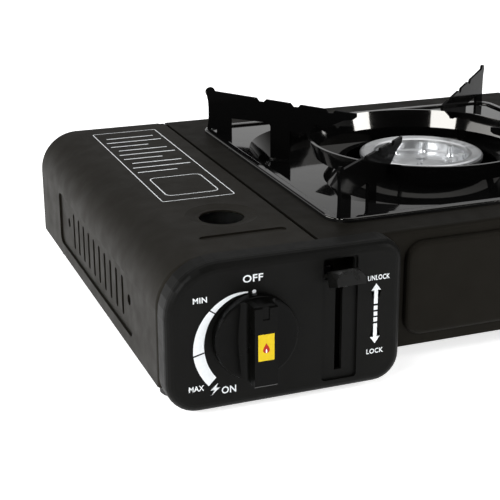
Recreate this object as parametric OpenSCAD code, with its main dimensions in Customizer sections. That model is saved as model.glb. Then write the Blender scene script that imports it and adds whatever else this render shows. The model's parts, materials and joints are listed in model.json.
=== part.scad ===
// Tabletop butane cassette stove: a pressed steel body with a hinged cartridge
// cover on the left, a lift-out drip tray and pan support, a round burner, and a
// moulded control panel with a gas knob and a cartridge lever.
// Lengths are in millimetres. X runs left to right, Y runs front to back, Z is up.
// Inside place(), X is measured from the left wall and Y from the front wall.

/* [Body] */
// Width of the pressed body
body_w = 366; // [360:1:385]
// Depth of the pressed body, front wall to back wall
body_d = 274; // [262:1:290]
// Height of the top deck above the table
deck_z = 81; // [81:0.5:90]
// Height of the body's bottom edge above the table
skirt_z = 15; // [13:0.5:15]
// Thickness of the sheet steel
sheet = 1; // [0.8:0.1:1.2]
// Radius of the front and back top edges
edge_r = 3; // [2:0.5:6]
// Radius of the right top edge
right_r = 10; // [6:1:12]
// Gap between steel parts that lift or swing past each other
play = 0.6; // [0.4:0.1:0.8]
// Left edge of the raised field on the front wall
field_x = 136; // [134:1:145]
// Bottom of the raised field
field_z = 21; // [19:1:25]
// Height of the raised field
field_h = 54; // [40:1:55]
// Height that the field stands proud
field_out = 3; // [1.5:0.5:4]
// Corner radius of the raised field
field_r = 11; // [8:1:16]

/* [Cartridge cover] */
// Width of the cover, left wall to hinge seam
lid_w = 88; // [87:0.5:89]
// Radius of the cover's top left corner
lid_r = 25; // [18:1:25]
// Height of the cover's bottom edge above the table
lid_z = 14; // [13.5:0.5:16]
// Width of the flange turned in at the cover's ends
lid_flange = 5; // [4:0.5:6]
// Outer radius of the rolled hinge edge
roll_r = 2.4; // [2.2:0.1:2.8]
// Radius of the hinge pins
hinge_pin_r = 1; // [0.8:0.1:1.2]
// Length of each hinge pin
hinge_pin_l = 14; // [10:1:20]
// Radius of the sight hole
sight_r = 12.5; // [8:0.5:14]
// Sight hole centre from the left wall
sight_x = 55.7; // [50:0.1:60]
// Sight hole centre from the front wall
sight_y = 61.2; // [55:0.1:90]
// Radius of the dish around the sight hole
dish_r = 20; // [17:0.5:22]
// Depth of the dish
dish_deep = 1.5; // [1:0.1:2]
// Length of the stiffening groove in front of the hole
groove_l = 48; // [30:1:50]
// Width of the stiffening groove
groove_w = 6; // [4:0.5:8]
// Groove centre from the front wall
groove_y = 27; // [20:1:32]

/* [Cover vents] */
// Number of vent slots
vent_n = 10; // [6:1:10]
// Distance between vent slots
vent_pitch = 12.7; // [10:0.1:13]
// Width of a vent slot
vent_w = 4; // [2.5:0.1:5]
// Height of a vent slot
vent_h = 23; // [15:1:24]
// Height of the slots' middle above the table
vent_z = 38.5; // [36:0.5:40]
// Middle of the slot row from the front wall
vent_y = 128; // [120:1:136]
// Length of the recessed vent field
vent_field_l = 172; // [160:1:180]
// Height of the recessed vent field
vent_field_h = 34; // [30:1:36]
// Depth of the recessed vent field
vent_field_deep = 1.4; // [0.8:0.1:2]
// Diameter of the round hole at each end of the vent row
vent_hole_d = 6; // [4:0.5:7]

/* [Drip tray] */
// Width of the drip tray
tray_w = 224; // [222:0.5:226]
// Depth of the drip tray
tray_d = 222.5; // [220:0.5:225]
// Left edge of the tray from the left wall
tray_x = 104.8; // [104:0.1:106]
// Front edge of the tray from the front wall
tray_y = 22.3; // [21:0.1:24]
// Corner radius of the tray rim
tray_r = 13; // [11:1:16]
// Width of the rim's round bead
bead_w = 5; // [4:0.5:5.5]
// Height of the rim's bead over the tray's flat panel
bead_h = 1.4; // [1.2:0.1:2]
// Height of the tray rim over the deck
tray_rim_h = 2.4; // [2:0.1:3]
// Overlap of the tray rim on the deck
tray_lap = 4.5; // [3.5:0.5:5]
// Distance of the basin's sides from the burner centre
basin_side = 102; // [98:0.5:102.5]
// Corner radius of the basin at its top
basin_r = 75; // [66:1:80]
// Distance that the basin's wall leans in toward the floor
basin_lean = 9; // [6:0.5:11]
// Depth of the basin below the rim
basin_deep = 17; // [12:0.5:18]
// Radius of the raised collar round the burner, at the floor
collar_floor_r = 62; // [60:1:66]
// Radius of the opening for the burner
collar_r = 48; // [46:1:52]
// Width of the collar's flat top
collar_flat = 5; // [3:0.5:6]
// Height of the collar above the basin floor
collar_h = 12; // [8:0.5:13]

/* [Pan support] */
// Radius of the ring at its top, middle of its band
ring_r = 72; // [70:0.5:76]
// How much smaller the ring's radius is at its bottom
ring_lean = 4; // [0:0.5:5]
// Height of the ring's bottom above the table
ring_z = 82.5; // [82.5:0.5:84]
// Height of the ring band
ring_h = 11; // [9:0.5:11]
// Height of the arms' bottom edge at the ring
arm_low_z = 87; // [86:0.5:88]
// Thickness of the ring and the arms
plate_t = 1.8; // [1.4:0.1:2.2]
// Distance of an arm's outer end from the burner centre
arm_out = 152; // [148:0.5:153]
// Distance of an arm's inner tip from the burner centre
arm_in = 44; // [41:0.5:50]
// Height of the arm's top edge above the table, at the ring
arm_z = 105; // [103:0.5:106]
// Rise of the arm's top edge from the ring to its outer end
arm_rise = 4.6; // [2:0.1:5]
// Height of the horn tip above the table
horn_z = 111.7; // [110.5:0.1:113]
// Radius of the horn's round tip
horn_r = 3.3; // [2.5:0.1:3.5]
// Width of an arm's outer foot
foot_w = 18; // [14:0.5:20]
// Width of an arm's inner leg
leg_w = 14; // [10:0.5:16]
// Top of the window between the foot and the leg, above the table
window_z = 91.8; // [89:0.2:93]
// Depth of the notches in the arm's top edge
notch_deep = 2.1; // [1.5:0.1:3]
// Width of a notch at its top
notch_w = 7; // [5:0.5:9]
// Distance of the innermost notch from the burner centre
notch_s = 62; // [58:0.5:64]
// Distance between notches
notch_pitch = 24.5; // [20:0.5:26]

/* [Burner] */
// Burner centre from the left wall
burner_x = 215; // [214:0.5:216]
// Burner centre from the front wall
burner_y = 131; // [131:0.5:132]
// Radius of the burner cap
cap_r = 39; // [37:0.5:40]
// Height of the burner cap's rim above the table
cap_z = 84; // [83.5:0.5:86]
// Thickness of the burner cap at its rim
cap_t = 4.5; // [4:0.5:5]
// Inner radius of the burner cap's rim
cap_rim_r = 31; // [30.5:0.5:31.5]
// Depth of the well inside the rim
cap_well = 8; // [6:0.1:8.5]
// Thickness of the well's wall and floor
cap_wall = 1.5; // [1.2:0.1:1.8]
// Radius of the central dome
dome_r = 20; // [16:0.5:20.5]
// Height of the dome over the well's floor
dome_h = 2; // [1.5:0.1:3]
// Radius of the dimple in the dome's middle
dimple_r = 3; // [2:0.1:4]
// Number of posts in the well
post_n = 8; // [4:1:8]
// Radius of the circle of posts
post_circle_r = 25.5; // [24.5:0.1:26]
// Radius of a post
post_r = 1.8; // [1.4:0.1:2]
// Height of a post
post_h = 7; // [4:0.1:7.5]
// Number of flame ports
port_n = 36; // [24:1:44]
// Width of a flame port
port_w = 2; // [1:0.1:2.2]
// Outer radius of the mixing tube
tube_r = 9; // [8:0.5:10]
// Height of the mixing tube's axis above the table
tube_z = 50; // [48:0.5:51]

/* [Control panel] */
// Width of the control panel
panel_w = 128; // [126:1:130]
// Height of the panel's bottom edge above the table
panel_z = 4; // [3.5:0.5:8]
// Height of the panel's top edge above the table
panel_top = 83; // [82:0.5:84]
// Distance that the panel stands in front of the body
panel_out = 15; // [14:0.5:18]
// Thickness of the panel's moulding
panel_wall = 2.4; // [2:0.1:2.6]
// Rounding of the panel's front edge
panel_edge = 5; // [4:0.5:5.5]
// Left edge of the lever channel from the left wall
channel_x = 82.5; // [81.5:0.1:84]
// Width of the lever channel
channel_w = 19.5; // [19:0.1:22]
// Depth of the lever channel
channel_deep = 1.6; // [1:0.1:1.8]
// Bottom of the lever channel above the table
channel_z = 10; // [9:0.5:12]
// Top of the lever channel above the table
channel_top = 77.3; // [76.5:0.1:78]

/* [Gas knob] */
// Knob axis from the left wall
knob_x = 45; // [44.5:0.1:45.5]
// Height of the knob axis above the table
knob_z = 43; // [43:0.1:43.5]
// Diameter of the knob's disc
knob_d = 44; // [40:0.5:45]
// Height of the knob's disc over the panel
knob_disc_h = 6.4; // [5.5:0.1:7]
// Distance of the grip's face from the panel
grip_out = 18; // [16:0.5:20]
// Width of the grip bar
grip_w = 12; // [11:0.5:14]
// Gap behind the knob
knob_gap = 0.8; // [0.6:0.1:1]
// Radius of the gas valve's spindle
spindle_r = 3; // [2.5:0.1:3.5]
// Largest turn of the knob, in degrees
knob_turn = 135; // [120:1:150]

/* [Cartridge lever] */
// Lever plane from the left wall
lever_x = 92.2; // [92:0.1:92.6]
// Lever pivot from the front wall
lever_y = 36.5; // [36:0.1:37]
// Height of the lever pivot above the table
lever_pivot_z = 43.5; // [43:0.1:44]
// Distance from the pivot to the middle of the lever cap
lever_l = 64; // [64:0.1:65]
// Swing of the lever, unlocked to locked, in degrees
lever_swing = 46; // [40:1:46]
// Thickness of the lever plate
lever_t = 1.6; // [1.2:0.1:1.8]
// Height of the lever plate
lever_h = 8; // [6:0.5:8]
// Width of the lever slot
slot_w = 4; // [3.6:0.1:4.4]
// Width of the lever cap
lever_cap_w = 15.8; // [14:0.1:16.5]
// Height of the lever cap
lever_cap_h = 9; // [8:0.1:10]
// Depth of the lever cap
lever_cap_l = 11.5; // [10:0.1:12]
// Radius of the lever's pivot pin
pivot_r = 2; // [1.5:0.1:2.5]
// Distance from the pivot to the crank pin
crank_l = 9; // [8:0.1:10]
// Radius of the crank pin
crank_pin_r = 1.5; // [1.2:0.1:1.8]

/* [Cartridge bay] */
// Radius of the gas cartridge that the bay takes
cartridge_r = 33.5; // [33:0.1:34]
// Length of the gas cartridge with its collar
cartridge_l = 192; // [186:1:196]
// Free space round the cartridge
cartridge_gap = 0.8; // [0.6:0.1:1]
// Distance of the valve socket's face from the front wall
socket_y = 46; // [45:0.5:47]
// Radius of the socket's bore
socket_bore_r = 5.2; // [4.8:0.1:6]
// Depth of the socket's bore
socket_deep = 9; // [7:0.5:10]
// Thickness of the pusher slide
slide_t = 1.5; // [1.2:0.1:1.8]
// Height of the pusher slide
slide_h = 10; // [9:0.5:11]

/* [Feet and screws] */
// Radius of a rubber foot
foot_r = 8; // [7:0.5:8.5]
// Distance of the left feet from the left wall
foot_x = 14; // [13:0.5:14.5]
// Distance of the feet from the front and back walls
foot_y = 22; // [18:1:30]
// Radius of a screw's shank
screw_r = 1.6; // [1.2:0.1:1.8]

/* [Hidden] */
$fn = 64;
eps = 0.01;
front_y = (panel_out + grip_out - body_d) / 2;
plate_top = skirt_z + sheet;
seam_gap = 0.4;
flange_x = lid_w + seam_gap;

// ---- Frame and shared shapes ----

// Puts a shape measured from the left and front walls in place
module place() {
    translate([-body_w / 2, front_y, 0]) children();
}

// Box from its lowest and highest corners
module span(low, high) {
    translate(low) cube(high - low);
}

// Rod along X, Y or Z from its start
module rod_x(start, r, l) {
    translate(start) rotate([0, 90, 0]) cylinder(r = r, h = l);
}
module rod_y(start, r, l) {
    translate(start) rotate([-90, 0, 0]) cylinder(r = r, h = l);
}
module rod_z(start, r, l) {
    translate(start) cylinder(r = r, h = l);
}

// Rounded rectangle with its lowest corner at the origin
module round_rect(w, h, r) {
    translate([r, 0]) square([w - 2 * r, h]);
    translate([0, r]) square([w, h - 2 * r]);
    for (x = [r, w - r], y = [r, h - r])
        translate([x, y]) circle(r);
}

// Flat shape drawn in X and Z, extruded backward from the plane at y
module wall_xz(y, t) {
    translate([0, y + t, 0]) rotate([90, 0, 0]) linear_extrude(t) children();
}

// Solid with one pair of rounded top edges along X and a rounded right top edge
module pressing(low, high, front_r, side_r) {
    d = high.y - low.y;
    h = high.z - low.z;
    w = high.x - low.x;
    intersection() {
        translate(low) rotate([90, 0, 90]) linear_extrude(w) {
            square([d, h - front_r]);
            translate([front_r, 0]) square([d - 2 * front_r, h]);
            for (y = [front_r, d - front_r])
                translate([y, h - front_r]) circle(front_r);
        }
        translate([low.x, high.y, low.z]) rotate([90, 0, 0]) linear_extrude(d) {
            square([w, h - side_r]);
            square([w - side_r, h]);
            translate([w - side_r, h - side_r]) circle(side_r);
        }
    }
}

// Unit vector
function unit(v) = v / norm(v);

// Points of a path with each inner corner rounded over the distance d
function rounded_path(p, d, n = 5) = concat([p[0]],
    [for (i = [1 : len(p) - 2])
        let (a = p[i] + d * unit(p[i - 1] - p[i]), b = p[i] + d * unit(p[i + 1] - p[i]))
        for (k = [0 : n]) let (t = k / n)
            (1 - t) * (1 - t) * a + 2 * t * (1 - t) * p[i] + t * t * b],
    [p[len(p) - 1]]);

// Direction of a path at point i
function heading(p, i) =
    unit(p[min(i + 1, len(p) - 1)] - p[max(i - 1, 0)]);

// Tube swept along a path; side is a direction that the path never takes
module tube_path(p, r, sides, side = [0.35, 0.5, 0.79]) {
    rings = len(p);
    points = [for (i = [0 : rings - 1])
        let (t = heading(p, i), n = unit(cross(t, side)), b = cross(t, n))
        for (k = [0 : sides - 1])
            p[i] + r * (cos(360 * k / sides) * n + sin(360 * k / sides) * b)];
    walls = [for (i = [0 : rings - 2], k = [0 : sides - 1])
        let (a = i * sides + k, b = i * sides + (k + 1) % sides)
        each [[a, a + sides, b], [b, a + sides, b + sides]]];
    ends = [for (k = [1 : sides - 2])
        let (e = (rings - 1) * sides)
        each [[0, k, k + 1], [e, e + k + 1, e + k]]];
    polyhedron(points, concat(walls, ends));
}

// Pan-head screw with its head's underside at the origin, shank along +Z
module screw(r, l) {
    cylinder(r = r, h = l);
    translate([0, 0, -1.2 * r]) cylinder(r1 = 1.5 * r, r2 = 2 * r, h = 1.2 * r);
}

// ---- Pressed body ----

deck_cut = [tray_w - 2 * tray_lap, tray_d - 2 * tray_lap];
end_wall_y = sheet + 1.6;
web_w = 9;
lever_cut_h = 48;

// Outline of the bay's end walls, which fit inside the cover
module bay_end_outline() {
    inset = sheet + play;
    r = lid_r - inset;
    top = deck_z - inset;
    translate([inset, plate_top]) square([flange_x - inset, top - r - plate_top]);
    translate([inset + r, plate_top]) square([flange_x - inset - r, top - plate_top]);
    translate([inset + r, top - r]) circle(r);
}

// Raised field of the front wall, grown by g, standing out by o
module field(g, o) {
    steps = 4;
    w = body_w - right_r - 8 - field_x;
    hull()
        for (k = [0 : steps]) {
            a = 90 * k / steps;
            in = field_out * (1 - cos(a)) - g;
            translate([field_x + in, -o * sin(a), field_z + in])
                rotate([90, 0, 0]) linear_extrude(eps)
                    round_rect(w - 2 * in, field_h - 2 * in, field_r - in, $fn = 32);
        }
}

module housing() {
    color([0.16, 0.15, 0.14]) place() difference() {
        union() {
            difference() {
                pressing([flange_x, 0, skirt_z], [body_w, body_d, deck_z], edge_r, right_r);
                pressing([flange_x - 1, sheet, skirt_z - 1],
                    [body_w - sheet, body_d - sheet, deck_z - sheet],
                    edge_r - sheet, right_r - sheet);
            }
            // Turned-down edge along the hinge seam
            span([flange_x, edge_r, deck_z - 11], [flange_x + sheet, body_d - edge_r, deck_z - sheet / 2]);
            // End walls of the cartridge bay, joggled in from the front and back walls
            wall_xz(end_wall_y, sheet) bay_end_outline();
            wall_xz(body_d - end_wall_y - sheet, sheet) bay_end_outline();
            for (y = [sheet / 2, body_d - end_wall_y - sheet / 2])
                span([flange_x, y, plate_top], [flange_x + web_w, y + end_wall_y, deck_z - edge_r]);
            field(0, field_out);
        }
        // Hollow behind the raised field
        translate([0, sheet + eps, 0]) field(-sheet, field_out);
        // Opening for the drip tray
        translate([tray_x + tray_lap, tray_y + tray_lap, deck_z - 2 * sheet])
            linear_extrude(3 * sheet) round_rect(deck_cut.x, deck_cut.y, tray_r - tray_lap);
        // Openings for the spindle, the lever and the hinge pins
        rod_y([knob_x, 0, knob_z], spindle_r + 1, 8);
        span([lever_x - slot_w / 2 - 0.4, -1, lever_pivot_z - lever_cut_h / 2],
            [lever_x + slot_w / 2 + 0.4, end_wall_y + sheet + 1, lever_pivot_z + lever_cut_h / 2]);
        hinge_axis_rod(hinge_pin_r);
        panel_screw_places() rod_y([0, -1, 0], screw_r, 10);
    }
}

// Rod of radius r along the whole hinge axis
module hinge_axis_rod(r) {
    rod_y([lid_w - roll_r, -1, deck_z - roll_r], r, body_d + 2);
}

module hinge_pins() {
    y0 = end_wall_y;
    color([0.72, 0.72, 0.72]) place()
        for (y = [y0, body_d - y0 - hinge_pin_l])
            rod_y([lid_w - roll_r, y, deck_z - roll_r], hinge_pin_r, hinge_pin_l);
}

// Upright plate between the cartridge bay and the burner space
partition_x = flange_x + sheet;
flange_in = 36;
flange_w = 8;
pipe_y = 33;
pipe_z = 68;
pipe_r = 2;
lead_y = 20;
lead_z = 66;

module partition() {
    y0 = end_wall_y + sheet;
    color([0.62, 0.62, 0.6]) place() difference() {
        union() {
            span([partition_x, y0, plate_top], [partition_x + sheet, body_d - y0, deck_z - sheet]);
            span([partition_x, y0 + flange_in, plate_top],
                [partition_x + flange_w, body_d - y0 - flange_in, plate_top + sheet]);
        }
        rod_x([partition_x - 1, pipe_y, pipe_z], pipe_r + 2, 4);
        rod_x([partition_x - 1, lead_y, lead_z], 3, 4);
        rod_x([partition_x - 1, lever_y, lever_pivot_z], pivot_r, 4);
        span([partition_x - 1, slide_back - slide_travel - play, crank_z - slide_h / 2 - play],
            [partition_x + 3, slide_back + slide_t + play, crank_z + slide_h / 2 + play]);
        span([partition_x - 1, y0 - 1, plate_top - 1], [partition_x + 3, y0 + 6, deck_z - 12]);
    }
}

// ---- Base plate and feet ----

trough_r = cartridge_r + cartridge_gap;
trough_y = socket_y + 4;
trough_l = body_d - end_wall_y - 2 * sheet - trough_y - 4;
lip_h = 8;

module foot_places() {
    for (x = [foot_x, body_w - foot_x - 4], y = [foot_y, body_d - foot_y])
        translate([x, y, 0]) children();
}

module base_plate() {
    left = vent_field_deep + sheet + play;
    bay_y = end_wall_y + sheet;
    color([0.2, 0.2, 0.19]) place() difference() {
        union() {
            // Floor of the bay and floor of the burner space
            span([left, end_wall_y, skirt_z], [flange_x + web_w, body_d - end_wall_y, plate_top]);
            span([flange_x + web_w - 1, sheet, skirt_z], [body_w - sheet, body_d - sheet, plate_top]);
            // Upturned lips
            span([left, bay_y, skirt_z], [left + sheet, body_d - bay_y, plate_top + lip_h]);
            span([body_w - 2 * sheet, sheet, skirt_z], [body_w - sheet, body_d - sheet, plate_top + lip_h]);
            for (y = [sheet, body_d - 2 * sheet])
                span([flange_x + web_w, y, skirt_z], [body_w - sheet, y + sheet, plate_top + lip_h]);
            // Pressed trough under the cartridge
            intersection() {
                rod_y([knob_x, trough_y - sheet, knob_z], trough_r + sheet, trough_l + 2 * sheet);
                span([left, 0, 0], [flange_x, body_d, plate_top]);
            }
        }
        rod_y([knob_x, trough_y, knob_z], trough_r, trough_l);
        foot_places() rod_z([0, 0, skirt_z - 1], screw_r, 4);
        panel_screw_places() rod_y([0, -1, 0], 2 * screw_r + 0.4, 10);
        // Air holes below the burner
        for (a = [0 : 45 : 315])
            translate([burner_x, burner_y, 0]) rotate(a) translate([62, 0, skirt_z - 1])
                cylinder(r = 7, h = sheet + 2);
    }
}

module foot(i) {
    x = i % 2 == 1 ? foot_x : body_w - foot_x - 4;
    y = i <= 2 ? foot_y : body_d - foot_y;
    color([0.1, 0.1, 0.1]) place() translate([x, y, 0]) difference() {
        rotate_extrude()
            polygon([[0, 0], [foot_r - 2, 0], [foot_r - 1, 1], [foot_r, skirt_z], [0, skirt_z]]);
        rod_z([0, 0, -1], screw_r, skirt_z + 2);
        rod_z([0, 0, -1], 2 * screw_r + 0.3, 6);
    }
}

module foot_screws() {
    color([0.7, 0.7, 0.7]) place() foot_places()
        translate([0, 0, 5]) screw(screw_r, plate_top - 5 + 1);
}

// ---- Cartridge cover ----

// Section of the cover's sheet across its depth: X is the depth below the surface
module lid_section() {
    r = edge_r;
    difference() {
        union() {
            translate([r, 0]) square([lid_flange - r, body_d]);
            translate([0, r]) square([lid_flange, body_d - 2 * r]);
            for (y = [r, body_d - r])
                translate([r, y]) circle(r);
        }
        translate([r, sheet]) square([lid_flange, body_d - 2 * sheet]);
        translate([sheet, r]) square([lid_flange, body_d - 2 * r]);
        for (y = [r, body_d - r])
            translate([r, y]) circle(r - sheet);
    }
}

// Sheet of the cover: left wall, rolled corner and top
module lid_sheet() {
    translate([0, 0, lid_z]) linear_extrude(deck_z - lid_r - lid_z) lid_section();
    translate([lid_r, body_d, deck_z - lid_r]) rotate([90, 0, 0]) rotate([0, 0, 90])
        rotate_extrude(angle = 90) translate([lid_r, 0]) mirror([1, 0]) lid_section();
    translate([lid_r, 0, deck_z]) rotate([0, 90, 0])
        linear_extrude(lid_w - roll_r - lid_r) lid_section();
}

// Stadium outline along Y, centred, for slots
module slot_yz(l, w) {
    square([w, l - w], center = true);
    for (s = [-1, 1])
        translate([0, s * (l - w) / 2]) circle(w / 2);
}

module cartridge_lid() {
    hinge_x = lid_w - roll_r;
    roll_y = end_wall_y + sheet + play;
    field_y0 = vent_y + 6 - vent_field_l / 2;
    color([0.17, 0.16, 0.14]) place() difference() {
        union() {
            difference() {
                lid_sheet();
                // Room at the rolled edge for the end walls
                for (y = [-1, body_d - roll_y])
                    span([hinge_x - roll_r, y, deck_z - 3 * roll_r], [lid_w + 1, y + roll_y + 1, deck_z + 1]);
            }
            // Rolled hinge edge
            rod_y([hinge_x, roll_y, deck_z - roll_r], roll_r, body_d - 2 * roll_y);
            // Dish pressed down round the sight hole
            translate([sight_x, sight_y, deck_z]) rotate_extrude()
                polygon([[0, -sheet], [dish_r + sheet, -sheet], [sight_r + 2, -dish_deep - sheet],
                    [0, -dish_deep - sheet]]);
            // Groove's underside
            translate([sight_x, groove_y, deck_z - 2 * sheet])
                linear_extrude(1.5 * sheet) rotate(90) slot_yz(groove_l + 2 * sheet, groove_w + 2 * sheet);
            // Vent field's inner face
            span([sheet / 2, field_y0 - sheet, vent_z - vent_field_h / 2 - sheet],
                [vent_field_deep + sheet, field_y0 + vent_field_l + sheet, vent_z + vent_field_h / 2 + sheet]);
        }
        translate([sight_x, sight_y, deck_z]) rotate_extrude()
            polygon([[0, 1], [dish_r, 1], [dish_r, 0], [sight_r + 2, -dish_deep], [0, -dish_deep]]);
        rod_z([sight_x, sight_y, deck_z - 2 * dish_deep - 2 * sheet], sight_r, 3 * dish_deep + 3 * sheet);
        translate([sight_x, groove_y, deck_z - 0.9 * sheet])
            linear_extrude(2 * sheet) rotate(90) slot_yz(groove_l, groove_w);
        hinge_axis_rod(hinge_pin_r + 0.06);
        // Recessed vent field with its slots and end holes
        translate([-1, field_y0, vent_z - vent_field_h / 2]) rotate([90, 0, 90])
            linear_extrude(1 + vent_field_deep) round_rect(vent_field_l, vent_field_h, 5);
        for (i = [0 : vent_n - 1])
            translate([-1, vent_y + (i - (vent_n - 1) / 2) * vent_pitch, vent_z])
                rotate([0, 90, 0]) linear_extrude(8) rotate(90) slot_yz(vent_h, vent_w);
        for (s = [-1, 1])
            rod_x([-1, vent_y + s * (vent_n + 1.1) / 2 * vent_pitch, vent_z + 2], vent_hole_d / 2, 8);
    }
}

// ---- Drip tray ----

bead_r = 1.1;
tray_top = deck_z + tray_rim_h - bead_h;
basin_z = deck_z + tray_rim_h - basin_deep;

// Sweeps a section round a rectangle of the corner centres' half sizes x and y
module round_sweep(x, y) {
    for (i = [0 : 3])
        rotate(90 * i) translate(i % 2 == 0 ? [x, y, 0] : [y, x, 0]) {
            rotate_extrude(angle = 90) children();
            rotate([90, 0, 0]) linear_extrude(i % 2 == 0 ? 2 * y : 2 * x) children();
        }
}

// Section of the rim: a wall down to the deck, a round bead, and a step down to the panel
module rim_section() {
    top = deck_z + tray_rim_h;
    inner = tray_r - bead_w;
    translate([tray_r - sheet, deck_z]) square([sheet, tray_rim_h - bead_r]);
    translate([inner + bead_r, top - sheet]) square([bead_w - 2 * bead_r, sheet]);
    translate([inner, tray_top - sheet]) square([sheet, bead_h + sheet - bead_r]);
    translate([inner - sheet, tray_top - sheet]) square([1.5 * sheet, sheet]);
    intersection() {
        union() {
            translate([tray_r - bead_r, top - bead_r]) circle(bead_r);
            translate([inner + bead_r, top - bead_r]) circle(bead_r);
        }
        translate([inner, top - bead_r]) square([bead_w, bead_r]);
    }
}

// Hollow of the basin with its raised collar, grown outward by g
module basin_space(top, g) {
    c = basin_side - basin_r;
    low = basin_z - g;
    wall_low = basin_r - basin_lean;
    difference() {
        union() {
            round_sweep(c, c)
                polygon([[0, low], [wall_low + g / 2, low], [basin_r + g, top], [0, top]]);
            span([-c, -c, low], [c, c, top]);
        }
        rotate_extrude($fn = 96)
            polygon([[0, low - 1], [collar_floor_r - g / 2, low - 1], [collar_floor_r - g / 2, low],
                [collar_r + collar_flat - g / 2, low + collar_h], [0, low + collar_h]]);
    }
}

module drip_tray() {
    color([0.05, 0.05, 0.05]) place() {
        translate([tray_x + tray_w / 2, tray_y + tray_d / 2, 0])
            round_sweep(tray_w / 2 - tray_r, tray_d / 2 - tray_r) rim_section();
        difference() {
            union() {
                translate([tray_x + bead_w, tray_y + bead_w, tray_top - sheet]) linear_extrude(sheet)
                    round_rect(tray_w - 2 * bead_w, tray_d - 2 * bead_w, tray_r - bead_w);
                translate([burner_x, burner_y, 0]) basin_space(tray_top - sheet / 2, sheet);
            }
            translate([burner_x, burner_y, 0]) basin_space(tray_top + 1, 0);
            rod_z([burner_x, burner_y, basin_z - 5], collar_r, 40);
        }
    }
}

// ---- Pan support ----

// Band of the ring, lengthened downwards by extra
module ring_band(extra) {
    low_r = ring_r - ring_lean * (1 + extra / ring_h);
    rotate_extrude($fn = 96)
        polygon([[low_r - plate_t / 2, -extra], [low_r + plate_t / 2, -extra],
            [ring_r + plate_t / 2, ring_h], [ring_r - plate_t / 2, ring_h]]);
}

module trivet_ring() {
    color([0.04, 0.04, 0.04]) place() translate([burner_x, burner_y, ring_z]) ring_band(0);
}

// Height of an arm's top edge at the distance s from the burner centre
function arm_top(s) = arm_z + arm_rise * (s - ring_r) / (arm_out - ring_r);

// Distance from the burner centre at which the rim's bead starts, along the nearest corner
bead_s = (tray_w / 2 + tray_d / 2 - 2 * tray_r - abs(tray_x + tray_w / 2 - burner_x)
    - abs(tray_y + tray_d / 2 - burner_y)) / sqrt(2) + tray_r - bead_w - play;
leg_drop = basin_deep - bead_h - 1.2;
leg_out = (basin_side - basin_r) * sqrt(2) + basin_r
    - basin_lean * leg_drop / (basin_deep - bead_h) - play;

// Outline of an arm: X is the distance from the burner centre, Y the height
module arm_outline() {
    waist = arm_out - 2.1;
    horn_s = arm_out - horn_r;
    foot_in = arm_out - 0.7 - foot_w;
    leg_in = leg_out - leg_w;
    difference() {
        union() {
            polygon([[arm_in, arm_top(arm_in)], [horn_s - 0.6 * horn_r, arm_top(horn_s - 0.6 * horn_r)],
                [horn_s, horn_z - horn_r], [horn_s + 0.7 * horn_r, horn_z - 1.75 * horn_r],
                [waist + 0.3, arm_z - 2.5], [waist, arm_z - 7], [waist, window_z],
                [waist + 0.4, tray_top + 5], [arm_out - 0.7, tray_top],
                [foot_in, tray_top], [foot_in, window_z - 0.8], [foot_in + 1, window_z],
                [leg_out + 2.5, window_z - 0.2], [leg_out + 0.7, window_z - 1.2], [leg_out, window_z - 2.5],
                [leg_out, tray_top - leg_drop], [leg_in, tray_top - leg_drop],
                [leg_in, arm_low_z + 0.5], [leg_in - 4, arm_low_z], [ring_r + plate_t, arm_low_z],
                [ring_r - 3.5, arm_low_z + 2.5], [ring_r - 6, arm_low_z + 4.5],
                [arm_in + 14, arm_low_z + 8.5], [arm_in + 9, arm_low_z + 11],
                [arm_in + 2, arm_top(arm_in) - 4], [arm_in, arm_top(arm_in) - 2.5]]);
            translate([horn_s, horn_z - horn_r]) circle(horn_r, $fn = 32);
        }
        // Room for the tray's bead
        translate([bead_s, tray_top - 1]) square([arm_out, bead_h + 1]);
        for (i = [0 : 2])
            translate([notch_s + i * notch_pitch, arm_top(notch_s + i * notch_pitch)])
                polygon([[-notch_w / 2 - 0.6, 0.6], [-notch_w / 4, -notch_deep],
                    [notch_w / 4, -notch_deep], [notch_w / 2 + 0.6, 0.6]]);
    }
}

module trivet_arm(i) {
    a = 45 + 90 * (i - 1);
    color([0.04, 0.04, 0.04]) place() translate([burner_x, burner_y, 0]) difference() {
        rotate(a) translate([0, plate_t / 2, 0]) rotate([90, 0, 0]) linear_extrude(plate_t)
            arm_outline();
        // Slot that the ring is let into
        translate([0, 0, ring_z]) ring_band(1);
    }
}

// ---- Burner ----

neck_r = 14;
neck_z = tube_z - tube_r - sheet;
stand_z = neck_z;
bowl_z = 62;
bowl_r = cap_r - 3;
bowl_wall = 4;
cap_bottom = cap_z - cap_t;
post_a = 15;

module burner_stand() {
    w = 40;
    l = 72;
    color([0.65, 0.65, 0.62]) place() translate([burner_x, burner_y, 0]) difference() {
        union() {
            span([-l / 2, -w / 2, stand_z - 1.5], [l / 2, w / 2, stand_z]);
            for (s = [-1, 1]) {
                span([s > 0 ? l / 2 - 1.5 : -l / 2, -w / 2, plate_top],
                    [s > 0 ? l / 2 : -l / 2 + 1.5, w / 2, stand_z]);
                span([s > 0 ? l / 2 - 1.5 : -l / 2 - 12, -w / 2, plate_top],
                    [s > 0 ? l / 2 + 12 : -l / 2 + 1.5, w / 2, plate_top + 1.5]);
            }
        }
        rod_z([0, 0, stand_z - 3], 6, 5);
    }
}

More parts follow.
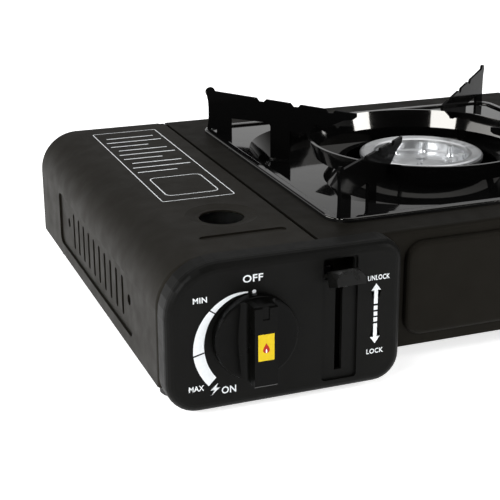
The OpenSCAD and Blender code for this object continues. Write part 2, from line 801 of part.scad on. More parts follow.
module burner_body() {
    color([0.55, 0.55, 0.53]) place() translate([burner_x, burner_y, 0]) difference() {
        rotate_extrude()
            polygon([[0, neck_z], [neck_r, neck_z], [neck_r, bowl_z],
                [bowl_r, cap_bottom - 7], [bowl_r, cap_bottom], [0, cap_bottom]]);
        rotate_extrude()
            polygon([[0, neck_z + 3], [neck_r - 3, neck_z + 3], [neck_r - 3, bowl_z + 1],
                [bowl_r - bowl_wall, cap_bottom - 6], [bowl_r - bowl_wall, cap_bottom + 1], [0, cap_bottom + 1]]);
        // Flame ports through the bowl's rim
        for (i = [0 : port_n - 1])
            rotate(360 * i / port_n)
                span([bowl_r - 6, -port_w / 2, cap_bottom - 3], [bowl_r + 1, port_w / 2, cap_bottom + 1]);
        rod_x([-neck_r - 1, 0, tube_z], tube_r, neck_r);
    }
}

module burner_cap() {
    well_z = cap_z - cap_well;
    well_r = cap_rim_r - cap_wall;
    dome_ball = (dome_r * dome_r + dome_h * dome_h) / (2 * dome_h);
    color([0.75, 0.75, 0.74]) place() translate([burner_x, burner_y, 0]) {
        rotate_extrude($fn = 96)
            polygon([[0, well_z - cap_wall], [cap_rim_r - 1, well_z - cap_wall], [cap_rim_r, well_z],
                [cap_rim_r, cap_bottom], [cap_r - 1, cap_bottom], [cap_r, cap_bottom + 1],
                [cap_r, cap_z - 1.5], [cap_r - 1, cap_z - 0.5], [cap_r - 2.5, cap_z],
                [cap_rim_r + 1, cap_z - 0.6], [cap_rim_r - 0.6, cap_z - 1.2], [well_r, cap_z - 2.5],
                [well_r, well_z + 1], [well_r - 1, well_z], [0, well_z]]);
        rotate_extrude()
            intersection() {
                translate([0, well_z + dome_h - dome_ball]) circle(dome_ball);
                translate([dimple_r, well_z - 0.5]) square([dome_r - dimple_r, dome_h + 1]);
            }
        for (i = [0 : post_n - 1])
            rotate(post_a + 360 * i / post_n) translate([post_circle_r, 0, well_z - 0.5]) {
                cylinder(r1 = post_r + 1.4, r2 = post_r + 0.4, h = 2.2, $fn = 32);
                cylinder(r = post_r, h = post_h + 0.5, $fn = 32);
            }
    }
}

tube_start = 113;
tube_wall = 1.2;

module mixing_tube() {
    l = burner_x - neck_r + 2 - tube_start;
    color([0.6, 0.6, 0.58]) place() translate([tube_start, burner_y, tube_z]) rotate([0, 90, 0])
        rotate_extrude()
            polygon([[tube_r + 1 - tube_wall, 0], [tube_r + 1, 0], [tube_r + 1, 3], [tube_r - 2, 16],
                [tube_r, 34], [tube_r, l], [tube_r - tube_wall, l], [tube_r - tube_wall, 34],
                [tube_r - 2 - tube_wall, 16], [tube_r + 1 - tube_wall, 3]]);
}

jet_r = 3;
jet_plate_x = 107.5;

module jet_bracket() {
    w = 24;
    color([0.65, 0.65, 0.62]) place() difference() {
        union() {
            span([jet_plate_x, burner_y - w / 2, plate_top], [jet_plate_x + 1.5, burner_y + w / 2, tube_z + 10]);
            span([jet_plate_x, burner_y - w / 2, plate_top], [jet_plate_x + 14, burner_y + w / 2, plate_top + 1.5]);
        }
        rod_x([jet_plate_x - 1, burner_y, tube_z], jet_r, 5);
    }
}

module jet_nozzle() {
    color([0.8, 0.62, 0.3]) place() translate([jet_plate_x, burner_y, tube_z]) rotate([0, 90, 0])
        difference() {
            union() {
                translate([0, 0, -4]) cylinder(r = jet_r + 2, h = 4, $fn = 6);
                cylinder(r = jet_r, h = 8);
                translate([0, 0, 8]) cylinder(r1 = jet_r, r2 = 1.2, h = 2);
            }
            translate([0, 0, -5]) cylinder(r = 1.4, h = 13);
            translate([0, 0, 7]) cylinder(r = 0.4, h = 4);
        }
}

// ---- Gas regulator ----

reg_y = 26;
reg_r = 21;
reg_back = 41;
valve_r = 10;
valve_y = 15;
lug_w = 8;
lug_z = 15;
seal_t = 1.5;
seal_r = socket_bore_r - 0.6;
outlet = [knob_x + 6, pipe_y, knob_z + reg_r - 2];

module regulator_body() {
    color([0.7, 0.7, 0.7]) place() difference() {
        union() {
            rod_y([knob_x, reg_y, knob_z], reg_r, reg_back - reg_y);
            rod_y([knob_x, reg_back - 1, knob_z], 12, socket_y - reg_back + 1);
            rod_y([knob_x, valve_y, knob_z], valve_r, reg_y - valve_y + 1);
            rod_z([outlet.x, outlet.y, knob_z], 5, reg_r + 2);
            // Lugs that carry the regulator on the front end wall
            for (s = [-1, 1])
                span([knob_x - lug_w / 2, end_wall_y + sheet, knob_z + s * lug_z - 2],
                    [knob_x + lug_w / 2, reg_y + 1, knob_z + s * lug_z + 2]);
        }
        rod_y([knob_x, socket_y - socket_deep, knob_z], socket_bore_r, socket_deep + 1);
        rod_y([knob_x, socket_y - socket_deep - seal_t, knob_z], seal_r, socket_deep);
        rod_y([knob_x, valve_y - 1, knob_z], spindle_r + 0.08, 9);
        rod_z([outlet.x, outlet.y, outlet.z - 4], pipe_r, 20);
    }
}

module regulator_cover() {
    color([0.62, 0.62, 0.64]) place() difference() {
        union() {
            rod_y([knob_x, reg_y - 1.5, knob_z], reg_r + 1.5, 1.5);
            for (a = [45 : 90 : 315])
                rod_y([knob_x + (reg_r - 3) * cos(a), reg_y - 3, knob_z + (reg_r - 3) * sin(a)], 1.8, 2);
        }
        rod_y([knob_x, reg_y - 5, knob_z], valve_r, 10);
        for (s = [-1, 1])
            span([knob_x - lug_w / 2, reg_y - 5, knob_z + s * lug_z - 2],
                [knob_x + lug_w / 2, reg_y + 2, knob_z + s * lug_z + 2]);
    }
}

module inlet_seal() {
    color([0.75, 0.2, 0.1]) place() difference() {
        rod_y([knob_x, socket_y - socket_deep - seal_t, knob_z], seal_r, seal_t);
        rod_y([knob_x, socket_y - socket_deep - 3, knob_z], 1.8, 5);
    }
}

module collar_plate() {
    r = 24;
    color([0.72, 0.72, 0.7]) place() difference() {
        union() {
            rod_y([knob_x, reg_back, knob_z], r, 1.2);
            // Key for the notch in the cartridge's collar
            span([knob_x - 3, reg_back, knob_z + r - 4], [knob_x + 3, reg_back + 7, knob_z + r - 2.8]);
        }
        rod_y([knob_x, reg_back - 1, knob_z], 12, 4);
    }
}

module gas_pipe() {
    drop_x = jet_plate_x - 8;
    color([0.75, 0.6, 0.35]) place() tube_path(rounded_path([
        [outlet.x, outlet.y, outlet.z - 4], [outlet.x, outlet.y, pipe_z],
        [drop_x, outlet.y, pipe_z], [drop_x, burner_y, pipe_z],
        [drop_x, burner_y, tube_z], [jet_plate_x - 4, burner_y, tube_z]], 3.5), pipe_r, 10);
}

// ---- Control panel ----

panel_y = -panel_out;
panel_back = -1;
corner_tl = 28;
corner_tr = 12;
corner_bl = 17;
corner_br = 15;
boss_r = 4;
window_gap = 0.6;
window_h = 11;
window_top = channel_top - 1.1;
slot_down = 28.5;
slot_up = 29;

// Corner centres of the panel, with their radii
function panel_corners(inset) = [
    [corner_bl, panel_z + corner_bl, corner_bl - inset],
    [panel_w - corner_br, panel_z + corner_br, corner_br - inset],
    [panel_w - corner_tr, panel_top - corner_tr, corner_tr - inset],
    [corner_tl, panel_top - corner_tl, corner_tl - inset]];

// Screw places of the panel: X, Z and the plane of the wall behind
function panel_screws_at() = [
    [16, 26, end_wall_y], [21, 62, end_wall_y],
    [panel_w - 12, panel_top - 13, 0], [panel_w - 12, panel_z + 16, 0]];

module panel_screw_places() {
    for (p = panel_screws_at())
        translate([p.x, p.z, p.y]) children();
}

// Solid panel with a rounded front edge
module panel_block() {
    steps = 5;
    hull()
        for (c = panel_corners(0))
            translate([c.x, panel_back, c.y]) rotate([90, 0, 0]) rotate_extrude($fn = 32)
                polygon(concat([[0, 0], [c.z, 0]],
                    [for (k = [0 : steps])
                        let (a = 90 * k / steps)
                        [c.z - panel_edge + panel_edge * cos(a),
                            panel_back - panel_y - panel_edge + panel_edge * sin(a)]],
                    [[0, panel_back - panel_y]]));
}

// Plain prism inside the panel's walls, from its open back to the plane at y
module panel_hollow(inset, y) {
    hull()
        for (c = panel_corners(inset))
            rod_y([c.x, y, c.y], c.z, 20);
}

module control_panel() {
    face = panel_y + panel_wall;
    color([0.1, 0.1, 0.1]) place() difference() {
        union() {
            difference() {
                panel_block();
                panel_hollow(panel_wall, face);
            }
            // Thicker back behind the lever channel
            span([channel_x - 2, face - 1, channel_z - 1], [channel_x + channel_w + 2, face + channel_deep, channel_top + 1.5]);
            // Rib that closes the panel's foot behind the lever slot
            span([channel_x - 2, panel_back - panel_wall, panel_z + 1],
                [channel_x + channel_w + 2, panel_back, skirt_z + 1]);
            for (p = panel_screws_at())
                rod_y([p.x, face - 0.5, p.y], boss_r, p.z - face + 0.5);
        }
        for (p = panel_screws_at())
            rod_y([p.x, p.z - 9, p.y], screw_r, 12);
        rod_y([knob_x, panel_y - 1, knob_z], spindle_r + 1, 20);
        // Lever channel with a window for the raised cap
        translate([channel_x, face - panel_wall + channel_deep, channel_z]) rotate([90, 0, 0])
            linear_extrude(10) round_rect(channel_w, channel_top - channel_z, 2);
        translate([lever_x - lever_cap_w / 2 - window_gap, panel_back - 3, window_top - window_h]) rotate([90, 0, 0])
            linear_extrude(panel_out) round_rect(lever_cap_w + 2 * window_gap, window_h, 1.5);
        span([lever_x - slot_w / 2, panel_y - 1, lever_pivot_z - slot_down],
            [lever_x + slot_w / 2, panel_back - 3, lever_pivot_z + slot_up]);
    }
}

module panel_screws() {
    color([0.7, 0.7, 0.7]) place()
        for (p = panel_screws_at())
            translate([p.x, p.z + sheet, p.y]) rotate([90, 0, 0]) screw(screw_r, 9);
}

// ---- Gas knob ----

module knob() {
    back = panel_y - knob_gap;
    disc_y = panel_y - knob_disc_h;
    r = knob_d / 2;
    disc_t = knob_disc_h - knob_gap;
    bar_l = r - 0.5;
    face_y = panel_y - grip_out;
    color([0.08, 0.08, 0.08]) place() difference() {
        union() {
            translate([knob_x, back, knob_z]) rotate([90, 0, 0]) rotate_extrude($fn = 96)
                polygon([[0, 0], [r, 0], [r, disc_t - 0.8], [r - 0.3, disc_t - 0.2],
                    [r - 1, disc_t], [0, disc_t - 0.8]]);
            // Grip bar with flared feet and eased ends
            intersection() {
                translate([knob_x, 0, knob_z - bar_l]) linear_extrude(2 * bar_l) {
                    translate([-grip_w / 2, face_y]) square([grip_w, grip_out - 2]);
                    difference() {
                        translate([-grip_w / 2 - 5, disc_y - 4.5]) square([grip_w + 10, 6]);
                        for (s = [-1, 1])
                            translate([s * (grip_w / 2 + 5), disc_y - 4.5]) circle(5);
                    }
                }
                rod_y([knob_x, face_y - 1, knob_z], r - 0.2, grip_out);
                wedge_x(knob_x, [[panel_y - 2, -r], [face_y + 4, 0.4 - r], [face_y + 0.8, 0.9 - r],
                    [face_y, 1.7 - r], [face_y, r - 1.7], [face_y + 0.8, r - 0.9],
                    [face_y + 4, r - 0.4], [panel_y - 2, r]]);
            }
        }
        // Bore with a flat for the spindle
        difference() {
            rod_y([knob_x, face_y + 4, knob_z], spindle_r, 20);
            span([knob_x - 5, face_y, knob_z + spindle_r - 1], [knob_x + 5, 0, knob_z + 6]);
        }
        // Seat of the label and the pointer groove above it
        span([knob_x - label_w / 2, face_y - 1, knob_z - label_h / 2],
            [knob_x + label_w / 2, face_y + label_t, knob_z + label_h / 2]);
        span([knob_x - pointer_w / 2, face_y - 1, knob_z + pointer_z], [knob_x + pointer_w / 2, face_y + 0.6, knob_z + r]);
        // Hollow in the disc's back
        translate([knob_x, back + 1, knob_z]) rotate([90, 0, 0]) difference() {
            cylinder(r = r - 2.5, h = 3.2);
            cylinder(r = 7, h = 4);
        }
    }
}

label_w = 8.4;
label_h = 13.9;
label_t = 0.5;
pointer_w = 3.6;
pointer_z = 14.3;

// Flat shape in Y and Z relative to the knob axis, extruded across the knob
module wedge_x(x, outline) {
    translate([x - knob_d / 2, 0, knob_z]) rotate([90, 0, 90]) linear_extrude(knob_d) polygon(outline);
}

module knob_label() {
    color([0.93, 0.78, 0.1]) place()
        span([knob_x - label_w / 2, panel_y - grip_out, knob_z - label_h / 2],
            [knob_x + label_w / 2, panel_y - grip_out + label_t, knob_z + label_h / 2]);
}

module valve_spindle() {
    tip = panel_y - grip_out + 4;
    color([0.75, 0.75, 0.75]) place() difference() {
        rod_y([knob_x, tip, knob_z], spindle_r, valve_y + 8 - 0.5 - tip);
        span([knob_x - 5, tip - 1, knob_z + spindle_r - 1], [knob_x + 5, panel_y, knob_z + 6]);
    }
}

// ---- Igniter ----

cam_y = 6;
cam_t = 4;
cam_r = 8;
cam_rise = 3;
plunger_gap = 0.5;
plunger_r = 2;
plunger_l = 12;
igniter_x = knob_x + cam_r + plunger_gap + 6;
igniter_l = 20;

// Spiral cam: its radius grows steadily over the knob's turn
module ignition_cam() {
    steps = 15;
    color([0.85, 0.85, 0.8]) place() difference() {
        translate([knob_x, cam_y + cam_t, knob_z]) rotate([90, 0, 0]) linear_extrude(cam_t)
            polygon(concat(
                [for (k = [0 : steps]) let (a = -knob_turn * k / steps)
                    (cam_r + cam_rise * k / steps) * [cos(a), sin(a)]],
                [for (k = [0 : steps]) let (a = -knob_turn - 30 - (330 - knob_turn - 10) * k / steps)
                    cam_r * [cos(a), sin(a)]]));
        rod_y([knob_x, cam_y - 1, knob_z], spindle_r, cam_t + 2);
    }
}

module igniter_plunger() {
    tip = knob_x + cam_r + plunger_gap;
    color([0.85, 0.15, 0.1]) place() {
        rod_x([tip + 2, cam_y + cam_t / 2, knob_z], plunger_r, plunger_l - 2);
        translate([tip, cam_y + cam_t / 2, knob_z]) rotate([0, 90, 0]) cylinder(r1 = 0.6, r2 = plunger_r, h = 2);
    }
}

module igniter_body() {
    y = cam_y + cam_t / 2;
    color([0.9, 0.9, 0.88]) place() difference() {
        union() {
            rod_x([igniter_x, y, knob_z], 4.3, igniter_l);
            // Foot against the front end wall
            span([igniter_x + 2, end_wall_y + sheet, knob_z - 4], [igniter_x + igniter_l - 2, y, knob_z + 4]);
            rod_x([igniter_x + igniter_l, y, knob_z], 1.6, 3);
        }
        rod_x([igniter_x - 1, y, knob_z], plunger_r + 0.1, plunger_l + 1);
    }
}

electrode_a = 200;
electrode_x = burner_x + (cap_r + 4) * cos(electrode_a);
electrode_y = burner_y + (cap_r + 4) * sin(electrode_a);

// Lead from the igniter, through the partition and under the tray to the electrode
module ignition_lead() {
    y = cam_y + cam_t / 2;
    x0 = igniter_x + igniter_l + 3;
    color([0.75, 0.1, 0.08]) place() tube_path(rounded_path([
        [x0, y, knob_z], [x0 + 3.5, y, knob_z], [x0 + 3.5, lead_y - 6, lead_z],
        [x0 + 3.5, lead_y, lead_z], [106, lead_y, lead_z], [106, 60, 60], [125, 92, 46],
        [electrode_x, electrode_y - 12, 42], [electrode_x, electrode_y, 42],
        [electrode_x, electrode_y, insulator_z]], 2.5), 1, 8, [0.8, -0.2, 0.56]);
}

insulator_z = 55;
insulator_h = 20;

module electrode_insulator() {
    color([0.93, 0.92, 0.88]) place() translate([electrode_x, electrode_y, insulator_z]) difference() {
        union() {
            cylinder(r = 2.2, h = insulator_h);
            cylinder(r = 3.2, h = 5);
        }
        translate([0, 0, -1]) cylinder(r = 0.75, h = insulator_h + 2);
    }
}

module electrode() {
    a = electrode_a;
    x = electrode_x;
    y = electrode_y;
    top = insulator_z + insulator_h;
    color([0.7, 0.7, 0.68]) place() tube_path(rounded_path([
        [x, y, insulator_z + 1], [x, y, top + 2.5],
        [x - 3 * cos(a), y - 3 * sin(a), top + 3.5]], 1.5), 0.75, 8);
}

module electrode_bracket() {
    color([0.65, 0.65, 0.62]) place() difference() {
        union() {
            span([electrode_x - 5, electrode_y - 5, insulator_z + 5], [burner_x - neck_r + 4, electrode_y + 5, insulator_z + 6.2]);
        }
        rod_z([electrode_x, electrode_y, insulator_z], 2.2, 12);
        rod_z([burner_x, burner_y, insulator_z], neck_r, 12);
    }
}

// ---- Cartridge lever and pusher ----

lever_a = lever_swing / 2;
crank_z = lever_pivot_z + crank_l * cos(lever_a);
crank_y = lever_y + crank_l * sin(lever_a);
link_x = lever_x + lever_t / 2 + 1;

// Shapes drawn with the lever pointing forward along -Y, turned up to its rest
module lever_frame() {
    place() translate([lever_x, lever_y, lever_pivot_z]) rotate([-lever_a, 0, 0]) children();
}

module lever_arm() {
    neck = lever_l - lever_cap_l / 2;
    color([0.6, 0.6, 0.6]) lever_frame() difference() {
        union() {
            rotate([90, 0, 90]) translate([0, 0, -lever_t / 2]) linear_extrude(lever_t) {
                translate([-neck - 4, -lever_h / 2]) square([neck + 4, lever_h]);
                circle(7);
                translate([-4, 0]) square([8, crank_l]);
                translate([0, crank_l]) circle(4);
            }
            rod_x([0, 0, crank_l], crank_pin_r, lever_t / 2 + slide_t + 2);
        }
        rod_x([-5, 0, 0], pivot_r + 0.08, 10);
    }
}

// Thumb cap: a block at the back, sloped to a face with an arched top
module lever_cap() {
    back_u = lever_l - lever_cap_l / 2;
    low = 0.6 - lever_cap_h / 2;
    color([0.09, 0.09, 0.09]) lever_frame() difference() {
        hull() {
            translate([-lever_cap_w / 2, -back_u, low]) rotate([90, 0, 0])
                linear_extrude(lever_cap_l * 0.45) round_rect(lever_cap_w, lever_cap_h - 0.6, 1);
            translate([0, -back_u - lever_cap_l * 0.8, 0]) rotate([90, 0, 0])
                linear_extrude(lever_cap_l * 0.2) intersection() {
                    translate([0, low]) scale([1, (lever_cap_h - 1.2) / (lever_cap_w / 2)])
                        circle(lever_cap_w / 2 + 0.6, $fn = 48);
                    translate([-lever_cap_w / 2, low]) square([lever_cap_w, lever_cap_h]);
                }
        }
        // Socket for the lever plate
        span([-lever_t / 2, -back_u - 4, -lever_h / 2], [lever_t / 2, 0, lever_h / 2]);
    }
}

module lever_pivot_pin() {
    color([0.75, 0.75, 0.75]) place() {
        rod_x([partition_x, lever_y, lever_pivot_z], pivot_r, lever_x + lever_t / 2 + 0.7 - partition_x);
        rod_x([lever_x + lever_t / 2 + 0.3, lever_y, lever_pivot_z], pivot_r + 1.2, 0.5);
        rod_x([partition_x + sheet, lever_y, lever_pivot_z], pivot_r + 1.5, lever_x - lever_t / 2 - 0.2 - partition_x - sheet);
    }
}

slide_back = trough_y + cartridge_l + 1;
slide_travel = 2 * crank_l * sin(lever_a);
spring_y = 150;
spring_l = 42;
spring_r = 3;
spring_wire = 0.5;
spring_x = link_x + slide_t + spring_r + 1.5;

module pusher_slide() {
    z0 = crank_z - slide_h / 2;
    slot_r = crank_pin_r + 0.12;
    hang = crank_l * (1 - cos(lever_a));
    color([0.62, 0.62, 0.6]) place() difference() {
        union() {
            span([link_x, lever_y - 10, z0], [link_x + slide_t, slide_back + slide_t, z0 + slide_h]);
            // Tab behind the cartridge, bent in through the partition
            span([knob_x, slide_back, plate_top + 10], [partition_x - play, slide_back + slide_t, z0 + slide_h]);
            span([partition_x - play - 1, slide_back, z0], [link_x + slide_t, slide_back + slide_t, z0 + slide_h]);
            // Ear for the return spring
            span([link_x, spring_y - spring_wire - 1.2, z0], [spring_x + 2, spring_y - spring_wire, z0 + slide_h - 2]);
        }
        // Upright slot for the crank pin
        span([link_x - 1, crank_y - slot_r, crank_z - 0.8], [link_x + slide_t + 1, crank_y + slot_r, crank_z + hang + 0.8]);
        for (z = [crank_z - 0.8, crank_z + hang + 0.8])
            rod_x([link_x - 1, crank_y, z], slot_r, slide_t + 2);
    }
}

guide_front_y = 80;
guide_back_y = 205;
guide_l = 10;

// Two clips on the partition that the slide runs in
module slide_guides() {
    z0 = crank_z - slide_h / 2;
    gap = 0.3;
    color([0.68, 0.68, 0.66]) place()
        for (y = [guide_front_y, guide_back_y])
            difference() {
                span([partition_x + sheet, y, z0 - gap - 1.2],
                    [link_x + slide_t + gap + 1.2, y + guide_l, z0 + slide_h + gap + 1.2]);
                span([link_x - gap, y - 1, z0 - gap], [link_x + slide_t + gap, y + guide_l + 1, z0 + slide_h + gap]);
                span([partition_x + sheet + 1, y - 1, z0 + 2], [link_x, y + guide_l + 1, z0 + slide_h - 2]);
            }
}

// Tension spring that draws the slide back: one unbroken wire
module return_spring() {
    turns = 12;
    steps = 8;
    color([0.8, 0.8, 0.8]) place() tube_path(
        [for (k = [0 : turns * steps])
            let (a = 360 * k / steps)
            [spring_x + spring_r * cos(a), spring_y + spring_l * k / (turns * steps), crank_z + spring_r * sin(a)]],
        spring_wire, 6, [0, 1, 0]);
}

// Bracket on the base plate that holds the spring's back end
module spring_anchor() {
    y = spring_y + spring_l + spring_wire;
    color([0.65, 0.65, 0.62]) place() {
        span([spring_x - 1.5, y, plate_top], [spring_x + 5, y + 1.2, crank_z + spring_r + 1]);
        span([spring_x - 1.5, y, plate_top], [spring_x + 5, y + 14, plate_top + 1.2]);
    }
}

housing();
partition();
base_plate();
foot(1);  // foot_1
foot(2);  // foot_2
foot(3);  // foot_3
foot(4);  // foot_4
foot_screws();
control_panel();
panel_screws();
hinge_pins();
regulator_body();
regulator_cover();
inlet_seal();
collar_plate();
gas_pipe();
jet_bracket();
jet_nozzle();
mixing_tube();
burner_stand();
burner_body();
burner_cap();
electrode();
electrode_insulator();
electrode_bracket();
ignition_lead();
igniter_body();
igniter_plunger();
lever_pivot_pin();
slide_guides();
drip_tray();
trivet_ring();
trivet_arm(1);  // trivet_arm_1
trivet_arm(2);  // trivet_arm_2
trivet_arm(3);  // trivet_arm_3
trivet_arm(4);  // trivet_arm_4
cartridge_lid();
knob();
knob_label();
valve_spindle();
ignition_cam();
lever_arm();
lever_cap();
pusher_slide();
spring_anchor();
return_spring();
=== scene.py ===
"""Looks of the tabletop gas stove. Metres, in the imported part's own frame: +X right, +Y back, +Z up."""

import json
import math

import bmesh
import bpy
from mathutils import Matrix, Vector


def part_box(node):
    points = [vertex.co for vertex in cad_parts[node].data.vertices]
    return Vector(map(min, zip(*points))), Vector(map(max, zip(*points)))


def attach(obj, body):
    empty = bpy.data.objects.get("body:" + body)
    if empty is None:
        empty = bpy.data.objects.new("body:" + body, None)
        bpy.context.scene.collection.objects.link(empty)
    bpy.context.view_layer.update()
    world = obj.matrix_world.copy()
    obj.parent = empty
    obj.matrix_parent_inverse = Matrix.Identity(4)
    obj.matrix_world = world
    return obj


MM = 0.001
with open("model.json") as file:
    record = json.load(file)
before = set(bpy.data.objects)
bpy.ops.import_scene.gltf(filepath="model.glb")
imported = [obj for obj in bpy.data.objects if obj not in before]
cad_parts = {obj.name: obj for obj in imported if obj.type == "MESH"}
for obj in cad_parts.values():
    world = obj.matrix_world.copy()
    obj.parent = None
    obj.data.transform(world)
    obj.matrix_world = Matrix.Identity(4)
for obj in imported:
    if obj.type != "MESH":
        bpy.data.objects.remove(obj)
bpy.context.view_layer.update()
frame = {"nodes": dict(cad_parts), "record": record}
NODES = frame["nodes"]


# ---- Places taken from the frame ----


def centre(node):
    """Middle of a node's box."""
    low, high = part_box(node)
    return (low + high) / 2


KNOB = centre("valve_spindle")
PANEL_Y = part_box("control_panel")[0].y
LID_LOW, LID_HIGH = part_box("cartridge_lid")
LABEL_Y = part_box("knob_label")[0].y


# ---- Node helpers ----


class Surface:
    """A Principled material whose nodes are added one call at a time."""

    def __init__(self, name, colour, roughness, **sockets):
        self.material = bpy.data.materials.new(name)
        self.material.use_nodes = True
        self.tree = self.material.node_tree
        self.shader = self.tree.nodes["Principled BSDF"]
        self.set("Base Color", (*colour, 1.0))
        self.set("Roughness", roughness)
        for socket, value in sockets.items():
            self.set(socket.replace("_", " ").title().replace("Ior", "IOR"), value)
        self.where = self.node("ShaderNodeTexCoord").outputs["Object"]

    def set(self, socket, value):
        """Gives a socket of the shader a plain value."""
        self.shader.inputs[socket].default_value = value

    def node(self, kind, **values):
        """Adds a node, with values for its sockets or its own settings."""
        made = self.tree.nodes.new(kind)
        for key, value in values.items():
            if key in made.inputs:
                made.inputs[key].default_value = value
            else:
                setattr(made, key, value)
        return made

    def link(self, source, target):
        self.tree.links.new(source, target)

    def noise(self, size, detail=3.0, stretch=(1, 1, 1)):
        """Noise whose blotches are about size metres across, stretched along an axis."""
        mapping = self.node("ShaderNodeMapping")
        mapping.inputs["Scale"].default_value = [1 / (size * k) for k in stretch]
        self.link(self.where, mapping.inputs["Vector"])
        noise = self.node("ShaderNodeTexNoise", Scale=1.0, Detail=detail)
        self.link(mapping.outputs["Vector"], noise.inputs["Vector"])
        return noise.outputs["Fac"]

    def spread(self, factor, low, high, source=(0.3, 0.7)):
        """Maps a factor to a range of values."""
        made = self.node("ShaderNodeMapRange")
        for key, value in zip(("From Min", "From Max", "To Min", "To Max"), (*source, low, high)):
            made.inputs[key].default_value = value
        self.link(factor, made.inputs["Value"])
        return made.outputs["Result"]

    def shade(self, factor, dark, light):
        """Mixes two colours by a factor into the base colour."""
        mix = self.node("ShaderNodeMix", data_type="RGBA")
        mix.inputs[6].default_value = (*dark, 1.0)
        mix.inputs[7].default_value = (*light, 1.0)
        self.link(self.spread(factor, 0.0, 1.0), mix.inputs["Factor"])
        self.link(mix.outputs[2], self.shader.inputs["Base Color"])

    def rough(self, factor, low, high):
        """Maps a factor to the roughness."""
        self.link(self.spread(factor, low, high), self.shader.inputs["Roughness"])

    def bump(self, height, depth, strength=0.5):
        """Adds a height field, depth metres from low to high."""
        made = self.node("ShaderNodeBump", Strength=strength, Distance=depth)
        self.link(height, made.inputs["Height"])
        below = self.shader.inputs["Normal"]
        if below.is_linked:
            self.link(below.links[0].from_socket, made.inputs["Normal"])
        self.link(made.outputs["Normal"], below)


def tinted(colour, k):
    """A colour made lighter or darker by the factor k."""
    return tuple(c * k for c in colour)


# ---- Materials ----

WARM = (1.0, 0.92, 0.78, 1.0)
SLIGHTLY_WARM = (1.0, 0.97, 0.9, 1.0)
COAT_GRAIN = 0.0009
MOULD_GRAIN = 0.0005


def coated_steel(name, colour, roughness, specular):
    """Matt stove paint: a fine leathery grain with faint cloudy wear."""
    s = Surface(name, colour, roughness, specular_ior_level=specular)
    s.set("Specular Tint", WARM)
    s.shade(s.noise(0.05), tinted(colour, 0.88), tinted(colour, 1.12))
    s.rough(s.noise(0.012, 4), roughness - 0.05, roughness + 0.06)
    s.bump(s.noise(COAT_GRAIN, 2), 0.00005)
    return s.material


def enamel(name, specular, coat):
    """Glossy black vitreous enamel with its slight ripple."""
    s = Surface(name, (0.003, 0.003, 0.003), 0.07, specular_ior_level=specular, coat_weight=coat)
    s.set("Specular Tint", SLIGHTLY_WARM)
    s.set("Coat Roughness", 0.03)
    s.rough(s.noise(0.03), 0.05, 0.1)
    s.bump(s.noise(0.018, 2), 0.00012, 0.35)
    return s.material


def moulded(name, colour, roughness, specular):
    """Moulded plastic with a fine spark-eroded grain."""
    s = Surface(name, colour, roughness, specular_ior_level=specular)
    s.shade(s.noise(0.03), tinted(colour, 0.92), tinted(colour, 1.08))
    s.rough(s.noise(0.006, 4), roughness - 0.04, roughness + 0.05)
    s.bump(s.noise(MOULD_GRAIN, 1), 0.00003)
    return s.material


def cast_aluminium(name):
    """Die-cast and blasted aluminium."""
    s = Surface(name, (0.7, 0.71, 0.72), 0.34, metallic=1.0)
    s.shade(s.noise(0.01, 5), (0.6, 0.61, 0.62), (0.74, 0.75, 0.76))
    s.rough(s.noise(0.004, 4), 0.28, 0.42)
    s.bump(s.noise(0.0006, 3), 0.00004)
    return s.material


def sheet_metal(name, colour, roughness):
    """Plated sheet with its faint rolling lines."""
    s = Surface(name, colour, roughness, metallic=1.0)
    s.shade(s.noise(0.015, 4), tinted(colour, 0.85), tinted(colour, 1.08))
    s.rough(s.noise(0.002, 3, stretch=(12, 1, 1)), roughness - 0.06, roughness + 0.1)
    s.bump(s.noise(0.0008, 2, stretch=(10, 1, 1)), 0.00002, 0.4)
    return s.material


def rubber(name, colour):
    """Matt moulded rubber."""
    s = Surface(name, colour, 0.75)
    s.rough(s.noise(0.004, 4), 0.68, 0.82)
    s.bump(s.noise(0.0009, 3), 0.00005)
    return s.material


def ceramic(name, colour):
    """Glazed white insulator."""
    s = Surface(name, colour, 0.2, coat_weight=0.4)
    s.shade(s.noise(0.004), tinted(colour, 0.93), colour)
    return s.material


def ink(name, colour, roughness):
    """Screen-printed ink."""
    s = Surface(name, colour, roughness, specular_ior_level=0.2)
    s.shade(s.noise(0.002, 3), tinted(colour, 0.93), colour)
    s.bump(s.noise(0.0004, 2), 0.00001, 0.4)
    return s.material


SLOT_MATERIALS = {
    "body_coat": coated_steel("warm_black_coat", (0.0045, 0.004, 0.003), 0.58, 0.09),
    "lid_coat": coated_steel("lid_coat", (0.006, 0.0052, 0.0038), 0.58, 0.14),
    "plate_coat": coated_steel("plate_coat", (0.02, 0.02, 0.02), 0.55, 0.15),
    "enamel": enamel("black_enamel", 0.5, 0.6),
    "arm_enamel": enamel("arm_enamel", 0.008, 0.0),
    "panel_plastic": moulded("panel_plastic", (0.004, 0.004, 0.0036), 0.45, 0.075),
    "knob_plastic": moulded("knob_plastic", (0.0012, 0.0012, 0.001), 0.3, 0.075),
    "label_print": ink("yellow_label", (0.68, 0.49, 0.005), 0.35),
    "cast_aluminium": cast_aluminium("cast_aluminium"),
    "pressed_zinc": sheet_metal("zinc_sheet", (0.6, 0.61, 0.6), 0.35),
    "brass": sheet_metal("brass", (0.76, 0.55, 0.24), 0.25),
    "screw_steel": sheet_metal("plated_steel", (0.62, 0.62, 0.61), 0.28),
    "foot_rubber": rubber("foot_rubber", (0.018, 0.018, 0.018)),
    "seal_rubber": rubber("seal_rubber", (0.25, 0.03, 0.02)),
    "ceramic": ceramic("glazed_ceramic", (0.86, 0.84, 0.78)),
    "igniter_plastic": moulded("igniter_plastic", (0.75, 0.74, 0.7), 0.4, 0.5),
    "lead_jacket": rubber("lead_jacket", (0.5, 0.03, 0.02)),
}
